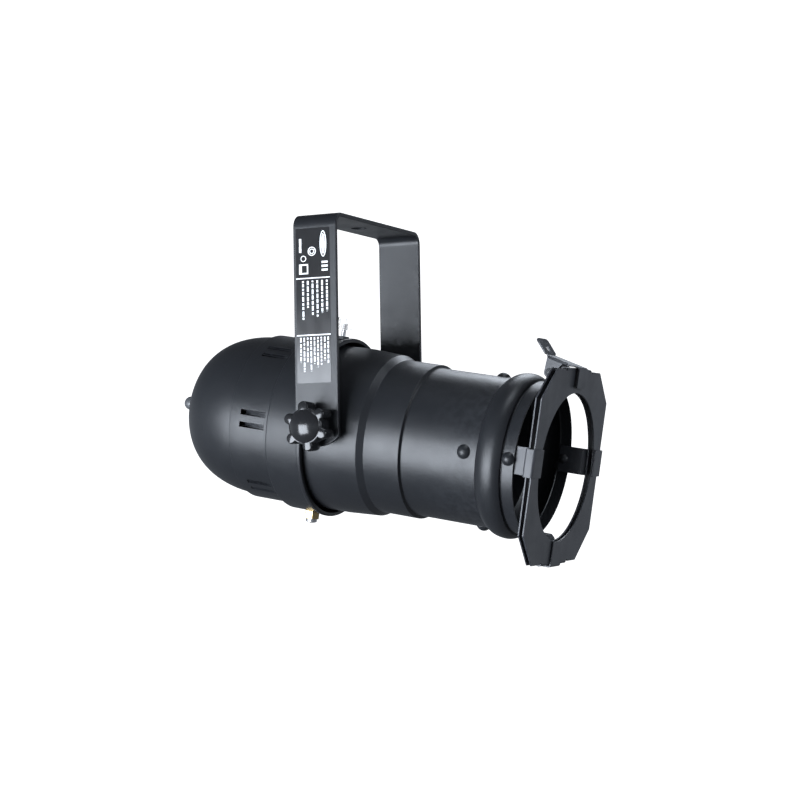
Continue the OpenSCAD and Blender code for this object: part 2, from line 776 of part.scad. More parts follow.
module holder_bracket() {
  color(steel) at_can() difference() {
    union() {
      translate([-20, -9, holder_back - 1.5]) cube([40, 18, 1.5]);
      for (s = [-1, 1]) translate([s * 20 - (s > 0 ? 1.5 : 0), -9, holder_back - 7])
        cube([1.5, 18, 7]);
    }
    translate([0, 0, holder_back - 5]) cylinder(r = stud_radius + 0.1, h = 10, $fn = small_fn);
    for (s = [-1, 1]) translate([s * 13, 0, holder_back - 5]) cylinder(r = 1.6, h = 10, $fn = small_fn);
  }
}

module holder_spacer() {
  color(steel) at_can() small_ring(5.5, stud_radius + 0.05, dome_pole + wall + 0.05, holder_back - 1.55);
}

module lampholder_body() {
  color([0.9, 0.88, 0.82]) at_can() difference() {
    rotate_extrude($fn = 48) polygon([
      [0, holder_back + 0.02], [18.5, holder_back + 0.02], [20, holder_back + 1.5],
      [20, -84], [18.5, -72.5], [14.6, -72.5], [14.6, -101], [0, -101]
    ]);
    translate([0, 0, holder_back - 1]) cylinder(r = stud_radius + 1, h = 8, $fn = small_fn);
    for (s = [-1, 1]) translate([s * 13, 0, holder_back - 1])
      cylinder(r = 1.45, h = 8, $fn = small_fn);
  }
}

module lampholder_shell() {
  color([0.8, 0.7, 0.45]) at_can() small_ring(14.5, 13.7, -97, -74);
}

module lampholder_contact() {
  color([0.8, 0.62, 0.3]) at_can() difference() {
    translate([-3.5, -9, -100.9]) cube([7, 18, 0.8]);
    translate([0, 6.5, -101]) cylinder(r = 1, h = 2, $fn = small_fn);
  }
}

module lampholder_screws() {
  color(steel) at_can() for (s = [-1, 1]) translate([s * 13, 0, 0]) {
    translate([0, 0, holder_back - 1.55]) cylinder(r = 1.4, h = 6, $fn = small_fn);
    translate([0, 0, holder_back - 3.5]) cylinder(r = 2.8, h = 2, $fn = small_fn);
  }
}

module lamp_reflector() {
  lr = lamp_radius;
  zf = lamp_front - 5;
  color([0.75, 0.76, 0.78]) at_can() rotate_extrude($fn = round_fn) polygon([
    [base_radius, -72], [base_radius + 1.5, -70], [18, -62], [24, -54], [32, -44],
    [39, -33], [lr - 3, -23], [lr - 0.5, zf - 3], [lr, zf], [lr - 1.5, zf],
    [lr - 2, zf - 3], [lr - 4.5, -23], [37.5, -33], [30.5, -44], [22.5, -54], [16.5, -62],
    [12.5, -70], [base_radius - 1.5, -72]
  ]);
}

module lamp_lens() {
  zf = lamp_front - 5;
  bulge = lamp_front - zf - 1.6;
  color([0.85, 0.9, 0.92, 0.5]) at_can() rotate_extrude($fn = round_fn) polygon(concat(
    [[0, zf + 0.03], [lamp_radius, zf + 0.03], [lamp_radius, zf + 1.2]],
    [for (i = [9:-1:0]) [lamp_radius * 0.98 * i / 10, zf + 1.6 + bulge * (1 - pow(i / 10, 2))]]
  ));
}

module lamp_base() {
  color([0.75, 0.72, 0.65]) at_can() difference() {
    rotate_extrude($fn = 48) polygon(concat(
      [[0, -97.6], [9, -97.6]],
      [for (i = [0:12]) [base_radius - (i % 2) * 0.7, -95 + i * 1.75]],
      [[base_radius, -72.05], [0, -72.05]]
    ));
    translate([0, 0, -95]) cylinder(r = base_radius - 2, h = 30, $fn = small_fn);
  }
}

module lamp_contact() {
  color([0.7, 0.7, 0.72]) at_can() translate([0, 0, -97.65]) rotate([180, 0, 0]) {
    cylinder(r = 5.5, h = 1, $fn = small_fn);
    translate([0, 0, 1 - eps]) cap(4.2, 1.2);
  }
}

yoke_bracket();
rating_label();
barrel();
front_nosing();
nosing_rivets();
holder_rivets();
side_clip_left();
side_clip_right();
bottom_clip();
latch_bracket();
latch_pivot_screw();
latch_pivot_nut();
latch_spring();
latch_lever();
latch_leaf();
frame_front_plate();
frame_rear_plate();
pivot_bush_left();
pivot_bush_right();
pivot_washer_left();
pivot_washer_right();
knob_left();
knob_right();
knob_stud_left();
knob_stud_right();
knob_washer_left();
knob_washer_right();
rear_dome();
vent_housing();
rear_stud();
rear_washer();
rear_lock_nut();
rear_cap_nut();
thumb_boss();
thumb_head();
thumb_shank();
earth_nut();
earth_screw();
earth_lug();
cable_grommet();
holder_bracket();
holder_spacer();
lampholder_body();
lampholder_shell();
lampholder_contact();
lampholder_screws();
lamp_reflector();
lamp_lens();
lamp_base();
lamp_contact();
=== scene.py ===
import json
import math
import random

import bmesh
import bpy
from mathutils import Matrix, Vector


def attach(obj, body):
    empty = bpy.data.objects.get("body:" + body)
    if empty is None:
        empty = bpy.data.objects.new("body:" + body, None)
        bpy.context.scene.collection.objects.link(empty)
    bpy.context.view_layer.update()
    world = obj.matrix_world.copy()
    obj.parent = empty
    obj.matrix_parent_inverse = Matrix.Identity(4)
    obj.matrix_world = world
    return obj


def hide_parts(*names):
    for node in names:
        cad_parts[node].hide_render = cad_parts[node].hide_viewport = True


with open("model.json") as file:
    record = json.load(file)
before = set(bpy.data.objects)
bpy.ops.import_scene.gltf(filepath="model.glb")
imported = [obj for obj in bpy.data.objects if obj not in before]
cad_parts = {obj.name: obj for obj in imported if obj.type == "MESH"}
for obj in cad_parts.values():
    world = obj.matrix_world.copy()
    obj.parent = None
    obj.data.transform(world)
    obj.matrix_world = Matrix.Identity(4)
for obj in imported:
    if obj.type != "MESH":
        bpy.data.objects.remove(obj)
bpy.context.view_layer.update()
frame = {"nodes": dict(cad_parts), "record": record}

# Shapes are written in millimetres. MM takes them to metres.
MM = 0.001
TILT = math.radians(9.5)  # the can's dip at rest
DROP = 137.3  # from the yoke's top face down to the tilt axis
SAG = 1.8  # from the tilt axis down to the can's own axis
ARM_OUT = 63.8  # from the middle to an arm's outer face
WALL = 0.95  # sheet of the turned shells
SHEET = 1.0  # sheet of the clips, the latch and the colour frame
ROUND = 200  # segments round a turned shell
TUBE_R = 49.0  # outside of the narrow front tube
TUBE_END = 105.3
COLLAR_R = 49.7
COLLAR_END = 131.4
VENT_R = 56.0  # outside of the band with the slots
DOME_R = 54.2
DOME_START = -69.7
DOME_DEPTH = 52.2
LATCH_PIN = (130.4, 55.9)  # along the can and up from its axis
COOL = (0.93, 1.0, 1.1)  # tint of every light

# ------------------------------------------------------------------ frames
PIVOT = Matrix.Translation((0, 0, -DROP * MM))
QUARTER = math.pi / 2
# The can's frame: +Z runs forward along the can's axis and +Y points up.
CAN = (PIVOT @ Matrix.Rotation(TILT, 4, "X") @ Matrix.Translation((0, 0, -SAG * MM))
       @ Matrix.Rotation(QUARTER, 4, "X"))


def on_skin(radius, angle, along):
    """Frame on the can's skin, with +Z pointing straight out of it. The angle is in degrees."""
    return (CAN @ Matrix.Rotation(math.radians(angle), 4, "Z")
            @ Matrix.Translation((radius * MM, 0, along * MM)) @ Matrix.Rotation(QUARTER, 4, "Y"))


def on_tilt(hand):
    """Frame on the tilt axis, with +Z towards the arm on one hand: -1 is left, 1 is right."""
    return PIVOT @ Matrix.Rotation(QUARTER * hand, 4, "Y")


# ------------------------------------------------------------------ camera
cam_data = bpy.data.cameras.new("camera")
cam = bpy.data.objects.new("camera", cam_data)
bpy.context.scene.collection.objects.link(cam)
bpy.context.scene.camera = cam
CAM_AT = Vector((-1066.7, -540.8, -27.8 - DROP)) * MM
YAW, PITCH, ROLL = math.radians(25.65), math.radians(2.21), math.radians(-0.91)
look = Vector((math.cos(YAW) * math.cos(PITCH), math.sin(YAW) * math.cos(PITCH), math.sin(PITCH)))
level_right = Vector((math.sin(YAW), -math.cos(YAW), 0))
level_up = level_right.cross(look)
right = math.cos(ROLL) * level_right + math.sin(ROLL) * level_up
up = -math.sin(ROLL) * level_right + math.cos(ROLL) * level_up
basis = Matrix((right, up, -look)).transposed()
cam.matrix_world = Matrix.Translation(CAM_AT) @ basis.to_4x4()
cam_data.sensor_width = 36
cam_data.lens = 80.21
cam_data.clip_start = 0.01
cam_data.clip_end = 50


# ------------------------------------------------------------------ materials
def new_material(name):
    m = bpy.data.materials.new(name)
    m.use_nodes = True
    nt = m.node_tree
    return m, nt, nt.nodes["Principled BSDF"]


def coords(nt, scale=(1, 1, 1)):
    tex = nt.nodes.new("ShaderNodeTexCoord")
    mp = nt.nodes.new("ShaderNodeMapping")
    mp.inputs["Scale"].default_value = scale
    nt.links.new(tex.outputs["Object"], mp.inputs["Vector"])
    return mp.outputs["Vector"]


def noise(nt, vec, scale, detail=2.0, rough=0.5):
    n = nt.nodes.new("ShaderNodeTexNoise")
    n.inputs["Scale"].default_value = scale
    n.inputs["Detail"].default_value = detail
    n.inputs["Roughness"].default_value = rough
    nt.links.new(vec, n.inputs["Vector"])
    return n.outputs["Fac"]


def ramp(nt, fac, lo, hi, p0=0.3, p1=0.7):
    r = nt.nodes.new("ShaderNodeMapRange")
    r.inputs["From Min"].default_value = p0
    r.inputs["From Max"].default_value = p1
    r.inputs["To Min"].default_value = lo
    r.inputs["To Max"].default_value = hi
    nt.links.new(fac, r.inputs["Value"])
    return r.outputs["Result"]


def mix_colour(nt, fac, a, b):
    m = nt.nodes.new("ShaderNodeMix")
    m.data_type = "RGBA"
    nt.links.new(fac, m.inputs[0])
    for socket, v in ((m.inputs[6], a), (m.inputs[7], b)):
        if isinstance(v, tuple):
            socket.default_value = (*v, 1)
        else:
            nt.links.new(v, socket)
    return m.outputs[2]


def bump(nt, bsdf, heights, distance):
    last = None
    for h, strength in heights:
        b = nt.nodes.new("ShaderNodeBump")
        b.inputs["Strength"].default_value = strength
        b.inputs["Distance"].default_value = distance
        nt.links.new(h, b.inputs["Height"])
        if last is not None:
            nt.links.new(last, b.inputs["Normal"])
        last = b.outputs["Normal"]
    nt.links.new(last, bsdf.inputs["Normal"])


def painted_edge_highlight(nt, amount):
    """A thin mask on convex edges, broken up by noise: a painted highlight that lightens the edges."""
    g = nt.nodes.new("ShaderNodeNewGeometry")
    edge = ramp(nt, g.outputs["Pointiness"], 0.0, amount, 0.53, 0.6)
    m = nt.nodes.new("ShaderNodeMath")
    m.operation = "MULTIPLY"
    nt.links.new(edge, m.inputs[0])
    nt.links.new(ramp(nt, noise(nt, coords(nt), 220, 3), 0.0, 1.0, 0.4, 0.65), m.inputs[1])
    return m.outputs[0]


def coat(name, base, light, rough_lo, rough_hi, grain, strength, edge=0.5, spec=0.5):
    """Powder coat: fine pebbled bump, slow change of tone and gloss, faint painted highlight on edges."""
    m, nt, p = new_material(name)
    vec = coords(nt)
    cloud = noise(nt, vec, 26, 4)
    speck = noise(nt, vec, grain * 1.7, 1)
    tone = mix_colour(nt, ramp(nt, cloud, 0, 1), base, tuple(c * 1.18 for c in base))
    tone = mix_colour(nt, ramp(nt, speck, 0, 0.5, 0.62, 0.8), tone, light)
    # Painted highlight: convex edges lightened towards the light tone.
    tone = mix_colour(nt, painted_edge_highlight(nt, edge), tone, light)
    nt.links.new(tone, p.inputs["Base Color"])
    nt.links.new(ramp(nt, noise(nt, vec, 60, 5, 0.6), rough_lo, rough_hi), p.inputs["Roughness"])
    p.inputs["Specular IOR Level"].default_value = spec
    pebbles = noise(nt, vec, grain, 2, 0.55)
    swells = noise(nt, vec, grain * 0.3, 2)
    bump(nt, p, [(pebbles, strength), (swells, strength * 0.4)], 0.00012)
    return m


def metal(name, base, rough_lo, rough_hi, tarnish=None):
    """Bare metal with fine drawn marks along Z and, if given, patches of tarnish."""
    m, nt, p = new_material(name)
    vec = coords(nt, (1, 1, 14))
    p.inputs["Metallic"].default_value = 1
    mark = noise(nt, vec, 420, 4, 0.7)
    tone = mix_colour(nt, ramp(nt, mark, 0, 1), tuple(c * 0.86 for c in base), base)
    if tarnish:
        tone = mix_colour(nt, ramp(nt, noise(nt, coords(nt), 160, 4), 0, 0.6, 0.5, 0.75), tone, tarnish)
    nt.links.new(tone, p.inputs["Base Color"])
    nt.links.new(ramp(nt, mark, rough_lo, rough_hi), p.inputs["Roughness"])
    bump(nt, p, [(mark, 0.12)], 0.00004)
    return m


def plastic(name, base, rough_lo, rough_hi, grain=900, strength=0.06, spec=0.5):
    """Moulded or glazed surface: a slow change of tone and gloss over a fine grain."""
    m, nt, p = new_material(name)
    vec = coords(nt)
    tone = mix_colour(nt, ramp(nt, noise(nt, vec, 40, 3), 0, 1), base, tuple(min(1, c * 1.12) for c in base))
    nt.links.new(tone, p.inputs["Base Color"])
    nt.links.new(ramp(nt, noise(nt, vec, 130, 4), rough_lo, rough_hi), p.inputs["Roughness"])
    p.inputs["Specular IOR Level"].default_value = spec
    bump(nt, p, [(noise(nt, vec, grain, 2), strength)], 0.00006)
    return m


def clear(name, base, rough, ior=1.49):
    """Glass or clear plastic."""
    m, nt, p = new_material(name)
    p.inputs["Base Color"].default_value = (*base, 1)
    p.inputs["Transmission Weight"].default_value = 1
    p.inputs["IOR"].default_value = ior
    vec = coords(nt)
    nt.links.new(ramp(nt, noise(nt, vec, 300, 3), rough, rough + 0.05), p.inputs["Roughness"])
    return m


BLACK = coat("black_coat", (0.0115, 0.0125, 0.0145), (0.032, 0.034, 0.038), 0.32, 0.42, 2100, 0.5, spec=0.36)
PLATE = coat("frame_coat", (0.024, 0.0255, 0.03), (0.055, 0.058, 0.066), 0.36, 0.46, 2600, 0.14, spec=0.45)
NUT = coat("dark_metal", (0.06, 0.062, 0.066), (0.2, 0.2, 0.2), 0.28, 0.4, 900, 0.1)
STEEL = metal("steel", (0.5, 0.5, 0.51), 0.26, 0.4)
BRASS = metal("brass", (0.52, 0.4, 0.2), 0.3, 0.42, tarnish=(0.3, 0.2, 0.09))
TIN = metal("tinned", (0.78, 0.76, 0.7), 0.26, 0.42)
KNOB = plastic("knob_plastic", (0.011, 0.0113, 0.0125), 0.13, 0.22, spec=0.45)
RUBBER = plastic("rubber", (0.02, 0.02, 0.02), 0.6, 0.75, 500, 0.2, 0.3)
CERAMIC = plastic("ceramic", (0.8, 0.78, 0.7), 0.18, 0.3)
LABEL = plastic("label", (0.014, 0.014, 0.015), 0.11, 0.16, 600, 0.03, 0.4)
PRINT = plastic("label_ink", (0.78, 0.78, 0.78), 0.35, 0.45)
CLEAR = clear("clear_plastic", (0.97, 0.98, 0.985), 0.06)
LENS = clear("lens_glass", (0.96, 0.98, 0.98), 0.02, 1.5)
MIRROR = metal("reflector", (0.88, 0.88, 0.9), 0.1, 0.18)
SLOT_MATERIAL = {"black_coat": BLACK, "frame_coat": PLATE, "dark_metal": NUT, "steel": STEEL,
                 "brass": BRASS, "tinned": TIN, "clear_plastic": CLEAR, "knob_plastic": KNOB,
                 "label": LABEL, "rubber": RUBBER, "ceramic": CERAMIC, "reflector": MIRROR,
                 "lens_glass": LENS}
NODE_SLOT = {s["node"]: s["material_slot"] for s in frame["record"]["subparts"]}
NODE_BODY = {n: b for b, ns in frame["record"]["behaviour"]["bodies"].items() for n in ns}


# ------------------------------------------------------------------ mesh helpers
def link(name, data):
    """New object in the scene."""
    ob = bpy.data.objects.new(name, data)
    bpy.context.scene.collection.objects.link(ob)
    return ob


def shade(me, sharp=None):
    """Shades smooth. Edges over the sharp angle, in degrees, stay crisp."""
    me.polygons.foreach_set("use_smooth", [True] * len(me.polygons))
    if sharp is not None:
        me.set_sharp_from_angle(angle=math.radians(sharp))


def weld(me, reach=1e-6, flat=None):
    """Merges points that meet, joins faces that are flat to some degrees, turns faces outwards."""
    bm = bmesh.new()
    bm.from_mesh(me)
    bmesh.ops.remove_doubles(bm, verts=bm.verts, dist=reach)
    if flat is not None:
        bmesh.ops.dissolve_limit(bm, angle_limit=math.radians(flat), verts=bm.verts, edges=bm.edges)
    bmesh.ops.recalc_face_normals(bm, faces=bm.faces)
    bm.to_mesh(me)
    bm.free()


def settle(ob):
    """The mesh that an object shows, with its modifiers applied. The object goes."""
    bpy.context.view_layer.update()
    shown = ob.evaluated_get(bpy.context.evaluated_depsgraph_get())
    me = bpy.data.meshes.new_from_object(shown)
    bpy.data.objects.remove(ob)
    return me


def make(name, verts, faces, matrix, sharp=35):
    """Object from points in millimetres."""
    me = bpy.data.meshes.new(name)
    me.from_pydata([Vector(v) * MM for v in verts], [], faces)
    me.validate()
    me.transform(matrix)
    weld(me)
    shade(me, sharp)
    return link(name, me)


def join(name, obs, sharp=None):
    """One object from several, which go."""
    bm = bmesh.new()
    for o in obs:
        o.data.transform(o.matrix_world)
        bm.from_mesh(o.data)
    me = bpy.data.meshes.new(name)
    bm.to_mesh(me)
    bm.free()
    for o in obs:
        bpy.data.objects.remove(o)
    shade(me, sharp)
    return link(name, me)


def bevel(ob, width, segments, angle):
    """Rounds the edges over an angle in degrees."""
    m = ob.modifiers.new("edge", "BEVEL")
    m.width = width * MM
    m.segments = segments
    m.limit_method = "ANGLE"
    m.angle_limit = math.radians(angle)
    m.harden_normals = True
    m.miter_outer = "MITER_ARC"


def detail(ob, body, slot, material=None):
    """A piece that rides on a body and takes a slot's material."""
    ob.data.materials.clear()
    ob.data.materials.append(material or SLOT_MATERIAL[slot])
    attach(ob, body)


def place(ob, node, material=None):
    """A piece that stands for a CAD node, on the node's body and with its slot."""
    detail(ob, NODE_BODY[node], NODE_SLOT[node], material)
    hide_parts(node)


def fillet(points, radius, steps=4, closed=False):
    """Rounds the corners of a 2D line. radius is one number or one for each point."""
    out = []
    n = len(points)
    for i, p in enumerate(points):
        r = radius[i] if isinstance(radius, (list, tuple)) else radius
        if (not closed and i in (0, n - 1)) or r <= 0:
            out.append(tuple(p))
            continue
        p = Vector(p)
        a = Vector(points[i - 1]) - p
        b = Vector(points[(i + 1) % n]) - p
        if a.length < 1e-9 or b.length < 1e-9:
            out.append(tuple(p))
            continue
        turn = a.angle(b)
        if turn > math.radians(176):
            out.append(tuple(p))
            continue
        cut = min(r / math.tan(turn / 2), a.length * 0.49, b.length * 0.49)
        s, e = p + a.normalized() * cut, p + b.normalized() * cut
        for k in range(steps + 1):
            t = k / steps
            out.append(tuple((1 - t) ** 2 * s + 2 * t * (1 - t) * p + t * t * e))
    return out


def lathe(name, profile, segments, matrix=CAN, sharp=35):
    """Closed (r, z) profile turned about z."""
    verts, faces = [], []
    n = len(profile)
    for i in range(segments):
        a = 2 * math.pi * i / segments
        for r, z in profile:
            verts.append((r * math.cos(a), r * math.sin(a), z))
    for i in range(segments):
        j = (i + 1) % segments
        for k in range(n):
            after = (k + 1) % n
            faces.append((i * n + k, j * n + k, j * n + after, i * n + after))
    return make(name, verts, faces, matrix, sharp)


def shell(outer):
    """Closed profile of a thin turned shell from its outer line."""
    inner = []
    for i, (r, z) in enumerate(outer):
        a = Vector(outer[max(i - 1, 0)])
        b = Vector(outer[min(i + 1, len(outer) - 1)])
        t = (b - a).normalized()
        inner.append((max(r - t[1] * WALL, 0.0), z + t[0] * WALL))
    return list(outer) + inner[::-1]


def prism(name, outline, depth, matrix, holes=()):
    """Flat plate from an outline, centred on z = 0, with holes cut by a filled curve."""
    cu = bpy.data.curves.new(name, "CURVE")
    cu.dimensions = "2D"
    cu.fill_mode = "BOTH"
    cu.extrude = depth * MM / 2
    for loop in (outline, *holes):
        s = cu.splines.new("POLY")
        s.points.add(len(loop) - 1)
        for q, (x, y) in zip(s.points, loop):
            q.co = (x * MM, y * MM, 0, 1)
        s.use_cyclic_u = True
    me = settle(link(name, cu))
    weld(me, flat=0.5)
    me.transform(matrix)
    shade(me, 35)
    return link(name, me)


def circle(r, n, cx=0.0, cy=0.0, a0=0.0, a1=2 * math.pi):
    """Points round a circle, or along an arc from a0 to a1 with both its ends."""
    closed = abs(a1 - a0 - 2 * math.pi) < 1e-6
    angles = [a0 + (a1 - a0) * i / n for i in range(n if closed else n + 1)]
    return [(cx + r * math.cos(a), cy + r * math.sin(a)) for a in angles]


def sheet_strip(name, path, bend, width, matrix, steps=5):
    """Bent sheet metal: a path in [along, up] with rounded bends, given a width."""
    mid = fillet(path, bend, steps)
    left, right = [], []
    for i, p in enumerate(mid):
        a, b = Vector(mid[max(i - 1, 0)]), Vector(mid[min(i + 1, len(mid) - 1)])
        t = (b - a).normalized()
        across = Vector((-t[1], t[0])) * SHEET / 2
        left.append(Vector(p) + across)
        right.append(Vector(p) - across)
    verts, faces = [], []
    n = len(mid)
    for i in range(n):
        for s in (-width / 2, width / 2):
            for q in (left[i], right[i]):
                verts.append((s, q[1], q[0]))
    for i in range(n - 1):
        a, b = i * 4, i * 4 + 4
        faces += [(a, b, b + 2, a + 2), (a + 1, a + 3, b + 3, b + 1),
                  (a, a + 1, b + 1, b), (a + 2, b + 2, b + 3, a + 3)]
    faces += [(0, 2, 3, 1), (4 * n - 4, 4 * n - 3, 4 * n - 1, 4 * n - 2)]
    return make(name, verts, faces, matrix, 30)


def softened(node, width, segments, angle, material=None):
    """A copy of a CAD node with its sharp edges rounded."""
    me = frame["nodes"][node].data.copy()
    weld(me, 2e-6, 0.6)
    shade(me, angle)
    ob = link(node + "_fine", me)
    bevel(ob, width, segments, angle)
    place(ob, node, material)


# ------------------------------------------------------------------ barrel and nosing
def barrel():
    """Stepped tube with a flared rear edge."""
    wide, middle = 55.25, 51.1
    outer = fillet([(57.6, -36.0), (57.6, -34.8), (wide, -32.6), (wide, 2.0), (53.8, 24.0), (middle, 28.1),
                    (middle, 53.1), (TUBE_R, 53.9), (TUBE_R, TUBE_END)],
                   [0, 0.5, 1, 3.0, 1.3, 1.2, 0.5, 0.6, 0], 5)
    place(lathe("barrel_fine", shell(outer), ROUND), "barrel")


def nosing():
    """Sleeve inside the tube, rolled bead, narrow groove and front collar, in one turned sheet."""
    sleeve_out = 47.9
    sleeve_in = sleeve_out - WALL
    bead_start, bead_end, bead_r, foot_r = TUBE_END + 0.1, 122.8, 53.6, 51.0
    swell = bead_r - (TUBE_R + foot_r) / 2
    bead = []
    steps = 26
    for i in range(steps + 1):
        t = i / steps
        foot = TUBE_R + (foot_r - TUBE_R) * t
        bead.append((foot + swell * (1 - abs(2 * t - 1) ** 2.4), bead_start + (bead_end - bead_start) * t))
    collar = fillet([(foot_r, bead_end), (49.2, 123.15), (49.15, 123.7), (49.75, 124.1),
                     (COLLAR_R, COLLAR_END - 0.1)], [0, 0.25, 0.25, 0.4, 0], 4)
    sleeve = [(sleeve_in, 87.0), (sleeve_out, 87.0), (sleeve_out, 105.0)]
    outer = [(TUBE_R, TUBE_END + 0.05)] + bead + collar[1:]
    inner = [(r - WALL, z) for r, z in reversed(outer)]
    rim = [(COLLAR_R - 0.15, COLLAR_END), (COLLAR_R - 0.8, COLLAR_END)]
    profile = sleeve + outer + rim + inner[:-1] + [(sleeve_in, 104.6)]
    place(lathe("nosing_fine", profile, ROUND), "front_nosing")


def rivet_head(name, base, rise, matrix):
    """Domed head of a base radius and a rise, with a short skirt under it."""
    ball = (base * base + rise * rise) / (2 * rise)
    top = math.asin(min(1, base / ball))
    arc = [(ball * math.sin(top * i / 10), rise - ball + ball * math.cos(top * i / 10)) for i in range(11)]
    line = arc + [(base + 0.12, -0.1), (base + 0.12, -0.35), (0, -0.35)]
    return lathe(name, line, 40, matrix, 50)


def rivets():
    """Four rivets hold the nosing in the tube, and three hold the clips in the collar."""
    inward = Matrix.Rotation(math.pi, 4, "X")
    set_tail = fillet([(0, 0), (2.6, 0), (2.6, 0.9), (1.1, 1.0), (0.9, 0.5), (0, 0.5)], 0.25, 3)
    along = 97
    bits = []
    for a in (0, 90, 180, 270):
        bits.append(rivet_head("head", 4.5, 2.7, on_skin(TUBE_R + 0.05, a, along)))
        bits.append(lathe("tail", set_tail, 28, on_skin(46.8, a, along) @ inward))
    place(join("nosing_rivets_fine", bits), "nosing_rivets")
    along = 127.4
    bits = []
    for a in (0, 180, 270):
        bits.append(rivet_head("head", 4.2, 2.6, on_skin(COLLAR_R + 0.05, a, along)))
        bits.append(rivet_head("tail", 3.3, 1.9, on_skin(46.55, a, along) @ inward))
    place(join("holder_rivets_fine", bits), "holder_rivets")


# ------------------------------------------------------------------ frame holder and colour frame
def holder(node, spin, reach, lip):
    """Strap from the collar out to a channel that holds the frame: its outer face and its lip's end."""
    turn = Matrix.Rotation(math.radians(spin + 270), 4, "Z")
    strap, floor = 47.1, reach - SHEET / 2
    rear, front = 143.0, 148.9
    path = [(124.7, strap), (140.8, strap), (rear, 49.3), (rear, floor), (front, floor), (front, lip)]
    ob = sheet_strip(node + "_fine", path, [0, 1.6, 1.2, 1.2, 1.2, 0], 17.5, CAN @ turn, 6)
    bevel(ob, 0.22, 2, 50)
    place(ob, node)


def colour_frame():
    """Two octagonal plates with a round opening, folded together at top and bottom."""
    half_w, top, bottom = 59.2, 59.5, -63.9
    cut_x, cut_y = 20.5, 19.5
    fold_half, notch = 22.0, 1.25
    front_at, rear_at = 147.6, 144.35
    lean = math.radians(-0.42)

    def edge(y, s):
        """Plate edge at top (s = 1) or bottom (s = -1), with the two bend-relief notches."""
        pts = [(-half_w + cut_x, y)]
        for x in (-fold_half - 1.2, fold_half + 1.2):
            for k in range(9):
                a = math.pi * (1 - k / 8)
                pts.append((x + notch * math.cos(a), y - s * notch * math.sin(a)))
        return pts + [(half_w - cut_x, y)]
    right_side = [(half_w, bottom + cut_y), (half_w, top - cut_y)]
    left_side = [(-x, y) for x, y in reversed(right_side)]
    outline = edge(bottom, -1) + right_side + edge(top, 1)[::-1] + left_side
    hole = circle(47.5, 144, 0, -2.45)
    front = prism("front_plate", outline, SHEET, CAN @ Matrix.Translation((0, 0, front_at * MM)), [hole])
    bevel(front, 0.2, 2, 50)
    folds = []
    for y, s, half in ((top, 1, 1.85), (bottom, -1, 1.4)):
        turn = [math.pi * k / 12 for k in range(13)]
        arc = [(front_at - half + half * math.cos(a), y + s * 0.9 * math.sin(a)) for a in turn]
        folds.append(sheet_strip("fold", arc, 0, 2 * fold_half, CAN))
    rolled = join("frame_folds", folds)
    bevel(rolled, 0.15, 1, 60)
    place(front, "frame_front_plate")
    detail(rolled, "can", "frame_coat")
    back = prism("rear_plate", outline, SHEET, CAN @ Matrix.Translation((0, 0, rear_at * MM))
                 @ Matrix.Rotation(lean, 4, "X"), [hole])
    bevel(back, 0.2, 2, 50)
    place(back, "frame_rear_plate")


# ------------------------------------------------------------------ latch
def latch():
    """Lever of one bent sheet: a strip over the frame, a tab to press, and two cheeks on the pin."""
    a, b = (127.6, 66.4), (149.2, 61.2)
    strip = sheet_strip("strip", [a, b, (150.1, 60.4), (150.1, 48.3)], [0, 0.9, 0.6, 0], 16.0, CAN, 5)
    top = (119.1, 76.5)
    lean = math.atan2(top[1] - a[1], top[0] - a[0])
    length = math.hypot(top[1] - a[1], top[0] - a[0])
    tab_frame = CAN @ Matrix.Translation((0, a[1] * MM, a[0] * MM)) @ Matrix.Rotation(QUARTER - lean, 4, "X")
    neck, wide = 7, 9.5
    outline = fillet([(-neck, -0.2), (neck, -0.2), (neck, 1.3), (wide, 1.3), (wide, length),
                      (-wide, length), (-wide, 1.3), (-neck, 1.3)],
                     [0, 0, 0.3, 2.6, 3.5, 3.5, 2.6, 0.3], 7, True)
    mid = length * 0.5 - 1.2
    hole = circle(1.9, 16, 0, mid + 1.1, 0, math.pi) + circle(1.9, 16, 0, mid - 1.1, math.pi, 2 * math.pi)
    tab = prism("tab", outline, SHEET, tab_frame, [hole])
    slope = math.atan2(b[1] - a[1], b[0] - a[0])
    bits = [strip, tab]
    section = [(0.0, 0.0), (0.9, -0.15), (2.0, -1.45), (1.3, -1.9), (0.55, -0.95), (0.0, -0.95)]
    stations = [(0.3, 0.55), (1.2, 1.0), (7.0, 1.0), (14.2, 1.0), (15.2, 0.6)]
    round_pin = circle(3.5, 28, *LATCH_PIN, math.radians(172), math.radians(368))
    cheek = [(a[0] + 0.2, a[1] - 0.2)] + round_pin + [(a[0] + 11.5, a[1] - 3.3)]
    k = len(section)
    last = (len(stations) - 1) * k
    for s in (-1, 1):
        # Edge turned down outwards: it leaves the strip's side and stops short of the frame's fold.
        verts, faces = [], []
        for z, size in stations:
            along, height = a[0] + z * math.cos(slope), a[1] + 0.45 + z * math.sin(slope)
            verts += [(s * (7.1 + x * size), height + y * size, along) for x, y in section]
        for r in range(0, last, k):
            faces += [(r + q, r + (q + 1) % k, r + k + (q + 1) % k, r + k + q) for q in range(k)]
        faces += [tuple(range(k))[::-1], tuple(last + q for q in range(k))]
        bits.append(make("edge", verts, faces, CAN, 30))
        # Side plate down round the pin.
        at = CAN @ Matrix.Translation((s * 7.47 * MM, 0, 0)) @ Matrix.Rotation(QUARTER, 4, "Y")
        bits.append(prism("cheek", [(-z, y) for z, y in cheek], 0.94, at))
    ob = join("latch_lever_fine", bits, 35)
    bevel(ob, 0.2, 2, 45)
    place(ob, "latch_lever")
    for node in ("latch_leaf", "latch_bracket", "latch_pivot_screw", "latch_pivot_nut"):
        softened(node, 0.12, 2, 40, NUT if node == "latch_pivot_screw" else None)


